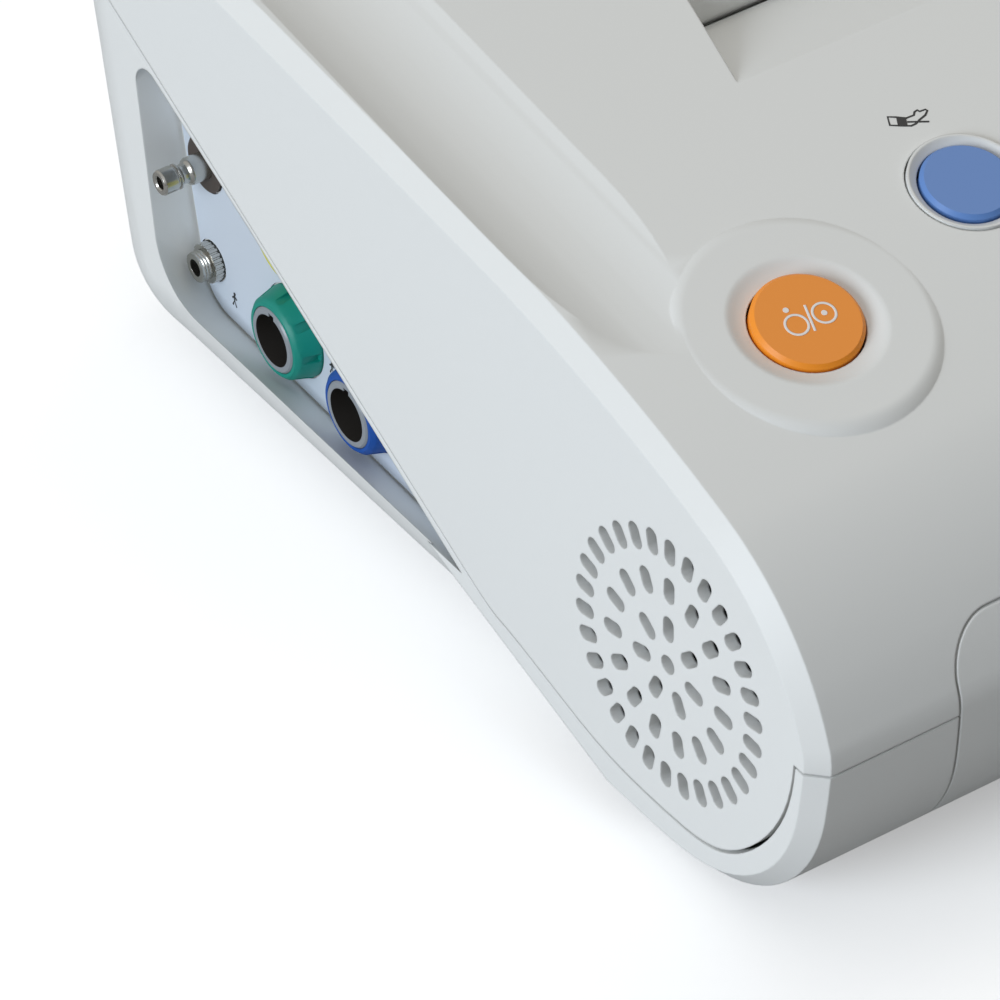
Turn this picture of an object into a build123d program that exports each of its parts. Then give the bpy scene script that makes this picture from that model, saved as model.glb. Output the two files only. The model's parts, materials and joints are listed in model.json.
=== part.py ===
from build123d import *
import os
from math import atan, cos, degrees, pi, radians, sin, sqrt, tan

os.makedirs("parts", exist_ok=True)

# A bench-top cardiotocograph. X runs to the device's right, Y to its rear, Z up.
# "back" is a distance behind the foremost point of the nose, "height" one above the table.

# Case
case_depth = 251.0
case_half_width = 130.2
wall = 2.5
bevel = 3.3
foot_height = 2.5
seam_gap = 0.5
fit_gap = 0.1
rear_corner_radius = 28.0
tuck_radius = 24.0
hull_slack = 0.15
overrun = 5.0
side_toe_share = 0.03
side_draft_share = 0.05
rear_lean_share = 0.285
top_radii = [11.2, 52.8, 320.0]
top_angles = [23.8, 47.9, 13.0]
chin_radii = [140.0, 35.6, 127.0]
chin_angles = [4.6, 79.7, 5.7]
ramp_start_share = 0.1726
ramp_rise_share = 0.29
valley_x = 112.5
valley_radius = 38.0
valley_depth = 2.4

# Parting line: level across the front, round the cheek plates, then a straight rise to the rear
parting_height = 46.1
skirt_front = 5.9
skirt_rise_share = 0.478
skirt_line_shares = [(0.0282, 0.3284), (0.0554, 0.2034), (0.0972, 0.1225), (0.1499, 0.1034),
                     (0.2271, 0.1108), (0.2907, 0.1441), (0.3461, 0.1750)]
skirt_end_shares = (0.4024, 0.2225)

# Screw bosses that join the two halves
boss_radius = 5.0
boss_front_x = 110.0
boss_front_back = 92.0
boss_rear_x = 100.0
boss_rear_back = 166.0
boss_grip = 8.0
screw_radius = 1.5
screw_hole_radius = 1.8
screw_length = 17.0
screw_head_radius = 2.9
screw_head_height = 2.2
driver_hole_radius = 3.2
driver_slot_width = 0.8
driver_slot_depth = 0.9

# Speaker behind the left cheek
speaker_back = 40.8
speaker_height = 43.3
grille_radius = 24.0
grille_ring_shares = [(7, 0.3175, 34.6), (15, 0.6588, 14.1), (30, 1.0, 2.1)]
slot_length = 5.2
slot_width = 3.0
centre_hole_radius = 1.85
speaker_radius = 28.0
speaker_lip = 2.0
speaker_lip_width = 2.5
basket_depth = 10.0
basket_thickness = 1.0
magnet_radius = 15.0
magnet_height = 7.0
cone_depth = 6.5
cone_thickness = 0.5
dust_cap_radius = 8.0

# Connector bay in the left side
bay_mouth_x = 133.0
bay_outer_x = 138.0
bay_face_x = 125.0
bay_lip = 1.77
bay_low = 22.3
bay_rear_back = 207.5
bay_low_back = 196.0
bay_corner_radius = 14.0
bay_top_radius = 4.0
bay_floor_low = 17.6
bay_floor_front = 96.0
bay_floor_rise = 6.0
bay_floor_rear_back = 208.0
bay_floor_low_back = 195.3
bay_floor_corner_radius = 9.0
overlay_thickness = 0.5
overlay_margin = 0.8
overlay_gap = 0.3

# Three round sockets, their coloured collars and their contact inserts
socket_spots = {"blue": (139.6, 30.5), "green": (164.6, 30.8), "yellow": (168.9, 49.9)}
collar_heights = {"blue": 5.5, "green": 5.5, "yellow": 1.8}
collar_radius = 9.2
collar_front_radius = 8.2
collar_bevel = 0.8
collar_notches = 8
notch_width = 1.7
notch_depth = 0.9
notch_end = 1.0
shell_radius = 6.6
shell_proud = 0.3
shell_edge = 0.35
shell_depth = 17.0
shell_flange_radius = 8.6
shell_flange_thickness = 1.5
socket_bore_radius = 5.25
socket_bore_depth = 15.0
insert_recess = 10.0
insert_seat_radius = 5.0
contact_count = 6
contact_circle = 2.8
contact_radius = 0.5
contact_depth = 3.0
keyway_width = 1.6
keyway_depth = 0.8

# Event-marker jack and hose nipple in the bay
jack_back = 192.8
jack_height = 28.4
jack_bore_radius = 1.75
jack_bore_depth = 14.0
jack_barrel_radius = 2.9
jack_length = 4.6
jack_body_radius = 4.6
jack_body_depth = 13.0
jack_nut_radius = 4.0
jack_nut_height = 2.4
jack_nut_notches = 24
jack_notch_radius = 0.25
nipple_back = 194.6
nipple_height = 50.0
nipple_bore_radius = 1.3
nipple_tip_radius = 2.1
nipple_ring_radius = 2.6
nipple_neck_radius = 1.9
nipple_shank_radius = 2.7
nipple_length = 10.6
nipple_shank_length = 4.2
nipple_neck_length = 1.2
nipple_ring_length = 1.3
nipple_tip_edge = 0.5
flange_radius = 5.6
flange_height = 0.8
nipple_tail = 12.0

# Keys on the top
large_key_x = 87.7
large_key_back = 59.3
large_key_angle = 16.5
large_key_radius = 10.2
small_key_x = 44.1
small_key_back = 71.8
middle_key_back = 76.0
small_key_angle = 12.5
small_key_radius = 8.6
key_gap = 0.4
key_proud = 0.6
key_edge = 0.7
key_thickness = 4.0
key_stem_radius = 3.0
key_travel = 1.2
key_stop_gap = 0.3
key_stop_thickness = 1.2
key_stop_width = 0.9
key_drop = 14.0
pad_radius = 24.5
pad_rise = 0.15
pad_angle = 12.5
pad_depth = 2.6
pad_slope_shares = [(0.88, 0), (0.915, 0.035), (0.95, 0.14), (0.985, 0.34), (1.015, 0.6), (1.05, 0.83),
                    (1.09, 0.96), (1.13, 1)]
dish_radius = 14.8
dish_depth = 1.3
dish_slope_shares = [(1, 0), (0.965, 0.05), (0.925, 0.2), (0.88, 0.44), (0.83, 0.68), (0.775, 0.88)]
bezel_radius = 11.3
bezel_height = 3.0
bezel_proud = 0.4
bezel_groove = 0.35
bezel_land = 0.5
bezel_slope = 1.1
key_tube_wall = 1.4
key_tube_depth = 8.0
key_board_height = 68.5
key_board_front = 52.0
key_board_rear = 90.0
key_board_half_width = 99.0
key_post_radius = 3.0
key_posts = [(66.0, 66.0), (22.0, 86.0)]
switch_radius = 3.2
switch_length = 12.0
board_thickness = 1.6

# Tilting display at the rear of the top
display_half_width = 60.0
display_front = 134.0
display_rear = 206.0
display_thickness = 12.0
display_gap = 0.5
display_edge = 1.5
pocket_wall = 2.0
scoop_front = 112.0
scoop_half_width = 65.0
scoop_depth = 8.0
finger_half_width = 16.0
finger_depth = 8.0
lens_margin = 9.0
lens_thickness = 1.5
lens_gap = 0.15
display_pin_radius = 2.0
display_pin_length = 12.0
pin_gap = 0.05

# Printer door that closes the nose, hinged along its lower edge
door_half_width = 97.6
door_top = 61.5
door_corner_radius = 10.0
door_gap = 0.5
door_sweep_radius = 6.45
door_reach = 16.0
door_axis_back = 16.0
door_axis_height = 14.5
door_knuckle_radius = 5.8
door_pin_radius = 1.5
door_pin_length = 12.0
door_lug_thickness = 4.0
door_lug_radius = 5.0
door_rib_thickness = 2.0
door_rib_depth = 3.0
door_rib_count = 5
door_rib_spacing = 38.0
door_rib_low = 24.0
door_rib_high = 54.0

# Printer behind the door
chassis_left = -88.0
chassis_right = 98.0
chassis_plate = 2.0
chassis_rear = 112.0
chassis_base_front = 30.0
chassis_inset = 14.0
chassis_nose = 13.0
chassis_nose_low = 30.0
chassis_top = 58.0
chassis_back_top = 38.0
chassis_bend = 62.0
platen_back = 24.0
platen_height = 46.0
platen_radius = 8.0
platen_half_length = 78.0
platen_shaft_radius = 2.5
gear_module = 0.8
platen_gear_teeth = 36
pinion_teeth = 12
gear_width = 4.0
gear_offset = 1.0
gear_clearance = 0.15
tooth_root_share = 0.56
tooth_pitch_share = 0.46
tooth_tip_share = 0.2
dedendum_share = 1.25
motor_radius = 12.0
motor_length = 17.0
motor_boss_radius = 4.0
motor_shaft_radius = 1.5
motor_angle = 38.0
head_height = 14.0
head_thickness = 5.0
head_gap = 0.4
head_fins = 4
head_fin_depth = 4.0
head_fin_thickness = 1.0
paper_half_width = 75.0
paper_front = 42.0
paper_rear = 106.0
paper_height = 18.0
tear_bar_width = 8.0
tear_bar_thickness = 1.0

# Boards and supply in the rear half
standoff_height = 4.0
standoff_radius = 3.0
board_left = -88.0
board_right = 34.0
board_front = 122.0
board_rear = 170.0
board_inset = 5.0
chip_size = 16.0
chip_height = 2.4
chip_columns = 4
chip_rows = 2
chip_pitch = 26.0
chip_row_pitch = 22.0
supply_left = 40.0
supply_right = 92.0
supply_height = 30.0
supply_edge = 2.0

# Rear wall: mains inlet, power switch, earth stud, data ports and vents
inlet_x = 74.0
inlet_height = 46.0
inlet_half_width = 13.5
inlet_half_height = 10.0
inlet_depth = 20.0
inlet_cavity_depth = 16.0
inlet_wall = 1.6
inlet_corner = 4.0
inlet_flange = 4.0
inlet_flange_thickness = 2.0
blade_width = 4.0
blade_thickness = 2.0
blade_length = 11.0
blade_pitch = 7.0
blade_drop = 2.0
rocker_x = 40.0
rocker_half_width = 5.5
rocker_radius = 9.5
rocker_rise = 4.0
rocker_angle = 9.0
rocker_gap = 0.3
rocker_floor = 3.5
rocker_sink = 1.5
switch_flange = 2.5
switch_flange_thickness = 1.5
switch_wall = 1.5
rocker_pin_radius = 1.0
stud_x = 8.0
stud_height = 40.0
stud_radius = 3.0
stud_length = 11.0
stud_neck_radius = 2.2
stud_neck = 2.0
stud_base_radius = 5.0
stud_base_height = 1.5
stud_tail = 8.0
port_xs = (-34.0, -58.0)
port_height = 40.0
port_half_width = 8.0
port_half_height = 6.8
port_depth = 14.0
port_wall = 1.0
port_floor = 2.0
vent_count = 9
vent_pitch = 8.0
vent_width = 3.0
vent_length = 14.0
vent_x = -30.0
vent_height = 64.0

# Rubber feet
foot_radius = 8.0
foot_sink = 1.0
foot_edge = 0.6
foot_x = 96.0
foot_front_back = 62.0
foot_rear_back = 183.0


# The chin's arcs end on the flat underside, which sets the nose's height
nose_height = foot_height
chin_turn = 0
for chin_radius, chin_angle in zip(chin_radii, chin_angles):
    nose_height += chin_radius * (sin(radians(chin_turn + chin_angle)) - sin(radians(chin_turn)))
    chin_turn += chin_angle


def along(back):
    return back - case_depth / 2


def side_x(back, height):
    return case_half_width + side_toe_share * back - side_draft_share * height


def on_side(hand, inset, y, z):
    return hand * (side_x(y + case_depth / 2, z) - inset), y, z


def side_plane(hand, inset, back, height):
    """A plane along the left or right side, facing outwards, inset from its outer face."""
    return Plane(origin=on_side(hand, inset, along(back), height), x_dir=(hand * side_toe_share, 1, 0),
                 z_dir=(hand, -side_toe_share, side_draft_share))


def rear_plane(x, height, lift=0):
    """A plane along the rear wall, facing outwards, with its Y axis up the wall."""
    rear = along(case_depth - rear_lean_share * (case_height - height))
    return Plane(origin=(x, rear, height), x_dir=(-1, 0, 0), z_dir=(0, 1, -rear_lean_share)).offset(lift)


def bay_plane(back, height, lift=0):
    """A plane on the floor of the connector bay, facing outwards, with its Y axis up."""
    return Plane(origin=(-bay_face_x - lift, along(back), height), x_dir=(0, -1, 0), z_dir=(-1, 0, 0))


def share_points(shares):
    return [(along(back * case_depth), height * case_height) for back, height in shares]


def half_section(plane, outline):
    """A (radius, height) outline drawn on a plane that holds the given plane's normal."""
    with BuildSketch(Plane(origin=plane.origin, x_dir=plane.x_dir,
                           z_dir=plane.x_dir.cross(plane.z_dir))) as section:
        with BuildLine():
            Polyline(outline, close=True)
        make_face()
    return section.sketch


def normal_axis(plane):
    return Axis(plane.origin, plane.z_dir)


# The top surface is three tangent arcs from the nose, then a straight rise
top_arcs = []
top_end = (0, nose_height, radians(90))
for top_radius, top_angle in zip(top_radii, top_angles):
    start, level, heading = top_end
    arc_middle = (start + top_radius * sin(heading), level - top_radius * cos(heading))
    heading -= radians(top_angle)
    top_end = (arc_middle[0] - top_radius * sin(heading), arc_middle[1] + top_radius * cos(heading), heading)
    top_arcs.append((top_end[0], arc_middle, top_radius))


def top_height(back):
    for end, arc_middle, radius in top_arcs:
        if back < end:
            return arc_middle[1] + sqrt(radius ** 2 - (arc_middle[0] - back) ** 2)
    return top_end[1] + (back - top_end[0]) * tan(top_end[2])


case_height = top_height(case_depth)


def skirt_height(back):
    """The height of the straight rise of the parting line."""
    rise_from = skirt_end_shares[0] * case_depth
    return skirt_end_shares[1] * case_height + skirt_rise_share * (back - rise_from)


# The case is a side view between two leaning sides, bevelled all round them, inside a hull
# whose plan has round rear corners and whose lower edge tucks under behind the chin.


def hull(inset):
    low = foot_height + inset - hull_slack
    with BuildPart() as sharp:
        for level in (low, case_height + overrun):
            rear = case_depth - rear_lean_share * (case_height - level) - inset
            front_half = side_x(-overrun, level) - inset + hull_slack
            rear_half = side_x(rear, level) - inset + hull_slack
            with BuildSketch(Plane.XY.offset(level)):
                with BuildLine():
                    Polyline((-front_half, along(-overrun)), (front_half, along(-overrun)),
                             (rear_half, along(rear)), (-rear_half, along(rear)), close=True)
                make_face()
                fillet(vertices().group_by(Axis.Y)[-1], radius=rear_corner_radius - inset)
        loft(ruled=True)
    with BuildPart() as tucked:
        add(sharp.part)
        bottom = tucked.faces().sort_by(Axis.Z)[0].edges()
        fillet(bottom.filter_by(lambda edge: edge.center().Y > along(0)), radius=tuck_radius - inset)
    ramp = Plane(origin=(0, along(ramp_start_share * case_depth), low), z_dir=(0, -ramp_rise_share, 1))
    with BuildPart() as front:
        add(sharp.part)
        split(bisect_by=ramp, keep=Keep.TOP)
    with BuildPart() as whole:
        add(tucked.part)
        add(front.part)
    return whole.part


def valleys(inset):
    """Two round bars along the straight rise, which press a valley beside each bevel and leave the nose free."""
    start, level, heading = top_end
    lift = Vector(0, -sin(heading), cos(heading)) * (valley_radius - valley_depth)
    with BuildPart() as bars:
        for hand in (-1, 1):
            seat = Plane(origin=Vector(hand * valley_x, along(start), level) + lift, x_dir=(1, 0, 0),
                         z_dir=(0, cos(heading), sin(heading)))
            with BuildSketch(seat):
                Circle(valley_radius + inset)
            extrude(amount=case_depth, both=True)
    return bars.part


def side_view(inset):
    """The case's side view, inset inside its outline: arcs over the nose and arcs under the chin."""
    with BuildSketch(Plane.YZ) as view:
        with BuildLine():
            spot, heading = Vector(along(inset), nose_height), 90
            for radius, angle in zip(top_radii, top_angles):
                arc = JernArc(spot, Vector(1, 0).rotate(Axis.Z, heading), radius - inset, -angle)
                spot, heading = arc @ 1, heading - angle
            beyond = along(case_depth) + 2 * overrun
            rear_top = (beyond, spot.Y + (beyond - spot.X) * tan(radians(heading)))
            Line(spot, rear_top)
            spot, heading = Vector(along(inset), nose_height), -90
            for radius, angle in zip(chin_radii, chin_angles):
                arc = JernArc(spot, Vector(1, 0).rotate(Axis.Z, heading), radius - inset, angle)
                spot, heading = arc @ 1, heading + angle
            Polyline(spot, (beyond, spot.Y), rear_top)
        make_face()
    return view.sketch


def case_solid(inset):
    """The side view run from side to side, cut by both sides, bevelled there and cut by the hull."""
    case_hull = hull(inset)
    with BuildPart() as solid:
        extrude(side_view(inset), amount=2 * case_half_width, both=True)
        for hand in (-1, 1):
            split(bisect_by=side_plane(hand, inset, 0, 0), keep=Keep.BOTTOM)
        side_faces = solid.faces().filter_by(lambda face: abs(face.normal_at().X) > abs(face.normal_at().Y))
        chamfer(side_faces.filter_by(GeomType.PLANE).edges(), length=bevel)
        add(case_hull, mode=Mode.INTERSECT)
        add(valleys(inset), mode=Mode.SUBTRACT)
    return solid.part


outer = case_solid(0)
middle = case_solid(wall / 2)
inner = case_solid(wall)


def parting_region(drop):
    """The side view of all that belongs to the upper half, moved forward and down by drop."""
    skirt = [(along(skirt_front), parting_height)] + share_points(skirt_line_shares + [skirt_end_shares])
    end_y = along(case_depth) + 2 * overrun
    end_z = skirt_height(case_depth + 2 * overrun) - drop
    sky = case_height + 2 * overrun
    front = (along(-overrun), parting_height - drop)
    curve = [(y - drop, z - drop) for y, z in skirt]
    with BuildSketch(Plane.YZ) as region:
        with BuildLine():
            Line(front, curve[0])
            Spline(curve, tangents=[(0, -1), (1, skirt_rise_share)])
            Polyline(curve[-1], (end_y, end_z), (end_y, sky), (front[0], sky), front)
        make_face()
    return region.sketch


def door_front(gap):
    """The front view of the printer door above its hinge, gap inside its opening."""
    half = door_half_width - gap
    with BuildSketch(Plane.XZ.offset(-along(-overrun))) as region:
        with BuildLine():
            Polyline((-half, door_axis_height), (half, door_axis_height), (half, door_top - gap),
                     (-half, door_top - gap), close=True)
        make_face()
        fillet(vertices().group_by(Axis.Y)[-1], radius=door_corner_radius - gap)
    return region.sketch


door_side = Plane(origin=(0, along(door_axis_back), door_axis_height), x_dir=(0, 1, 0), z_dir=(1, 0, 0))

boss_levels = [
    ([(hand * boss_front_x, along(boss_front_back)) for hand in (-1, 1)], parting_height),
    ([(hand * boss_rear_x, along(boss_rear_back)) for hand in (-1, 1)], skirt_height(boss_rear_back)),
]


def top_plane(x, back, tilt, lift):
    """A plane on the top surface that leans forward by tilt degrees."""
    lean = Vector(0, -sin(radians(tilt)), cos(radians(tilt)))
    return Plane(origin=Vector(x, along(back), top_height(back)) + lean * lift, x_dir=(1, 0, 0), z_dir=lean)


key_spots = {
    "start_key": (-large_key_x, large_key_back, large_key_angle, large_key_radius),
    "zero_key": (-small_key_x, small_key_back, small_key_angle, small_key_radius),
    "mark_key": (0, middle_key_back, small_key_angle, small_key_radius),
    "volume_key": (small_key_x, small_key_back, small_key_angle, small_key_radius),
    "feed_key": (large_key_x, large_key_back, large_key_angle, large_key_radius),
}
large_keys = ["start_key", "feed_key"]
small_keys = ["zero_key", "mark_key", "volume_key"]

# The display lies in a pocket that follows the slope of the top behind the keys
display_slope = degrees(atan((top_height(display_rear) - top_height(display_front))
                             / (display_rear - display_front)))
display_half_length = (display_rear - display_front) / 2 / cos(radians(display_slope))
display_axis_y = -display_half_length + display_gap + display_thickness / 2
display_axis_z = -display_thickness / 2


def display_plane(lift):
    return top_plane(0, (display_front + display_rear) / 2, display_slope, lift)


display_side = Plane(origin=display_plane(0).origin, x_dir=display_plane(0).y_dir, z_dir=(1, 0, 0))


def scoop(margin):
    """The ramp that leads down to the display's front edge, grown by margin."""
    front, edge, rear = along(scoop_front) - margin, along(display_front), along(display_front) + overrun
    start = top_height(scoop_front) - margin
    low = top_height(display_front) - scoop_depth - margin
    sky = case_height + overrun
    with BuildSketch(Plane.YZ) as profile:
        with BuildLine():
            Polyline((front, start), (edge, low), (rear, low), (rear, sky), (front, sky), close=True)
        make_face()
    narrow, wide = display_half_width + margin, scoop_half_width + margin
    with BuildSketch() as plan:
        with BuildLine():
            Polyline((-wide, front), (wide, front), (narrow, edge), (narrow, rear),
                     (-narrow, rear), (-narrow, edge), close=True)
        make_face()
    with BuildPart() as wedge:
        extrude(profile.sketch, amount=wide, both=True)
        extrude(plan.sketch, amount=case_height + overrun, mode=Mode.INTERSECT)
    return wedge.part


# Upper case: what hangs inside it reaches half-way into its wall
with BuildPart() as upper_inside:
    for x, back, tilt, radius in key_spots.values():
        with BuildSketch(top_plane(x, back, tilt, overrun)):
            Circle(max(radius + key_gap, bezel_radius) + key_tube_wall)
        extrude(amount=-(overrun + key_tube_depth))
    with BuildSketch(display_plane(overrun)):
        Rectangle(2 * (display_half_width + pocket_wall), 2 * (display_half_length + pocket_wall))
        with Locations((0, display_half_length + finger_depth / 2)):
            Rectangle(2 * (finger_half_width + pocket_wall), finger_depth + 2 * pocket_wall)
    extrude(amount=-(overrun + display_thickness + display_gap + pocket_wall))
    add(scoop(pocket_wall))
    for spots, level in boss_levels:
        with BuildSketch(Plane.XY.offset(level)):
            with Locations(*spots):
                Circle(boss_radius)
        extrude(amount=case_height)
    with BuildSketch(Plane.XY.offset(key_board_height + board_thickness)):
        for x, back in key_posts:
            with Locations((x, along(back)), (-x, along(back))):
                Circle(key_post_radius)
    extrude(amount=case_height)
    add(middle, mode=Mode.INTERSECT)

with BuildPart() as upper_case:
    add(outer)
    add(inner, mode=Mode.SUBTRACT)
    extrude(parting_region(0), amount=2 * case_half_width, both=True, mode=Mode.INTERSECT)
    add(upper_inside.part)
    # Round pads under the two large keys, each with a soft slope round it and a dish round its key
    for name in large_keys:
        x, back, tilt, radius = key_spots[name]
        seat = top_plane(x, back, pad_angle, pad_rise)
        slope = [(share * pad_radius, -drop_share * pad_depth) for share, drop_share in pad_slope_shares]
        revolve(half_section(seat, [(0, -pad_depth - wall / 2), (0, 0)] + slope
                             + [(slope[-1][0], -pad_depth - wall / 2)]), axis=normal_axis(seat))
    for name in large_keys:
        x, back, tilt, radius = key_spots[name]
        seat = top_plane(x, back, pad_angle, pad_rise)
        dish = [(share * dish_radius, -drop_share * dish_depth) for share, drop_share in dish_slope_shares]
        revolve(half_section(seat, [(0, overrun), (dish_radius, overrun)] + dish
                             + [(radius + 2 * key_gap, -dish_depth), (0, -dish_depth)]),
                axis=normal_axis(seat), mode=Mode.SUBTRACT)
    for name in small_keys:
        x, back, tilt, radius = key_spots[name]
        with BuildSketch(top_plane(x, back, tilt, overrun)):
            Circle(bezel_radius)
        extrude(amount=-(overrun + bezel_height), mode=Mode.SUBTRACT)
    for x, back, tilt, radius in key_spots.values():
        with BuildSketch(top_plane(x, back, tilt, overrun)):
            Circle(radius + key_gap)
        extrude(amount=-(2 * overrun + key_tube_depth), mode=Mode.SUBTRACT)
    # Pocket for the display, its ramp in front and a finger gap behind
    with BuildSketch(display_plane(overrun)):
        Rectangle(2 * display_half_width, 2 * display_half_length)
        with Locations((0, display_half_length + finger_depth / 2)):
            Rectangle(2 * finger_half_width, finger_depth)
    extrude(amount=-(overrun + display_thickness + display_gap), mode=Mode.SUBTRACT)
    add(scoop(0), mode=Mode.SUBTRACT)
    with BuildSketch(display_side):
        with Locations((display_axis_y, display_axis_z)):
            Circle(display_pin_radius + pin_gap)
    extrude(amount=display_half_width + pocket_wall + overrun, both=True, mode=Mode.SUBTRACT)
    # Pilot holes for the case screws
    for spots, level in boss_levels:
        with BuildSketch(Plane.XY.offset(level)):
            with Locations(*spots):
                Circle(screw_radius + pin_gap)
        extrude(amount=screw_length - boss_grip + seam_gap, mode=Mode.SUBTRACT)
    # Opening for the printer door
    extrude(door_front(0), amount=-(overrun + door_reach), mode=Mode.SUBTRACT)
    # Speaker grille: a round hole and three rings of slots
    with BuildSketch(side_plane(-1, -overrun, speaker_back, speaker_height)):
        Circle(centre_hole_radius)
        for count, ring_share, start in grille_ring_shares:
            with PolarLocations(ring_share * grille_radius, count, start_angle=-start):
                SlotOverall(slot_length, slot_width)
    extrude(amount=-2 * overrun, mode=Mode.SUBTRACT)
upper_case.part.label = "upper_case"
export_step(upper_case.part, "parts/upper_case.step")


def bay_outline(x, grow):
    """The bay's outline at depth x, between its mouth in the side and its floor, grown by grow."""
    deep = (bay_mouth_x - x) / (bay_mouth_x - bay_face_x)
    tip_back = skirt_end_shares[0] * case_depth
    tip_back += (bay_low + bay_lip - skirt_end_shares[1] * case_height) / skirt_rise_share
    bend_back = socket_spots["yellow"][0]
    mouth = [(tip_back, bay_low), (bend_back, skirt_height(bend_back) - bay_lip),
             (bay_rear_back, skirt_height(bay_rear_back) - bay_lip), (bay_low_back, bay_low)]
    floor = [(bay_floor_front, bay_floor_low), (bend_back, skirt_height(bend_back) + bay_floor_rise),
             (bay_floor_rear_back, skirt_height(bay_floor_rear_back)),
             (bay_floor_low_back, bay_floor_low)]
    points = [(-along(a[0] + deep * (b[0] - a[0])), a[1] + deep * (b[1] - a[1]))
              for a, b in zip(mouth, floor)]
    with BuildSketch(bay_plane(case_depth / 2, 0, x - bay_face_x)) as outline:
        with BuildLine():
            Polyline(points, close=True)
        make_face()
        low_corner = outline.vertices().sort_by_distance(Vector(*points[3]))[0]
        fillet(low_corner, radius=bay_corner_radius + deep * (bay_floor_corner_radius - bay_corner_radius))
        top_corner = outline.vertices().sort_by_distance(Vector(*points[2]))[0]
        fillet(top_corner, radius=bay_top_radius)
        if grow:
            offset(amount=grow, kind=Kind.INTERSECTION)
    return outline.sketch


# Places on the lower case
floor_top = foot_height + wall
deck = floor_top + standoff_height
feet_spots = [(hand * foot_x, along(back)) for hand in (-1, 1) for back in (foot_front_back, foot_rear_back)]
deck_spots = [(x, along(back)) for x in (board_left + board_inset, board_right - board_inset,
                                         supply_left + board_inset, supply_right - board_inset)
              for back in (board_front + board_inset, board_rear - board_inset)]
deck_spots += [(x, along(back)) for x in (chassis_left + chassis_inset, chassis_right - chassis_inset)
               for back in (chassis_base_front + chassis_inset, chassis_rear - board_inset)]
bay_holes = [(spot, shell_radius) for spot in socket_spots.values()]
bay_holes += [((jack_back, jack_height), jack_barrel_radius),
              ((nipple_back, nipple_height), nipple_shank_radius)]
rocker_depth = rocker_rise - rocker_sink
switch_half_width = rocker_half_width + rocker_gap + switch_wall
switch_half_height = rocker_radius + rocker_gap + switch_wall

# Lower case: the bay's walls, the bosses, standoffs and hinge lugs, then the shell round them
with BuildPart() as bay_walls:
    add(bay_outline(bay_outer_x, wall))
    add(bay_outline(bay_face_x - wall, wall))
    loft(ruled=True)
with BuildPart() as bay_inside:
    add(bay_walls.part)
    split(bisect_by=side_plane(-1, wall + seam_gap, speaker_back, speaker_height), keep=Keep.BOTTOM)
    add(inner, mode=Mode.INTERSECT)
with BuildPart() as lower_inside:
    for spots, level in boss_levels:
        with BuildSketch():
            with Locations(*spots):
                Circle(boss_radius)
        extrude(amount=level - seam_gap)
    with BuildSketch():
        with Locations(*deck_spots):
            Circle(standoff_radius)
    extrude(amount=deck)
    for hand in (-1, 1):
        with BuildSketch(door_side.offset(hand * (door_half_width + door_lug_thickness / 2))):
            Circle(door_lug_radius)
        extrude(amount=door_lug_thickness / 2, both=True)
    add(middle, mode=Mode.INTERSECT)
with BuildPart() as above_parting:
    extrude(parting_region(seam_gap), amount=2 * case_half_width, both=True)
    add(bay_inside.part, mode=Mode.SUBTRACT)
    add(lower_inside.part, mode=Mode.SUBTRACT)
with BuildPart() as lower_hollow:
    add(inner)
    add(bay_walls.part, mode=Mode.SUBTRACT)
    add(lower_inside.part, mode=Mode.SUBTRACT)

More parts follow.
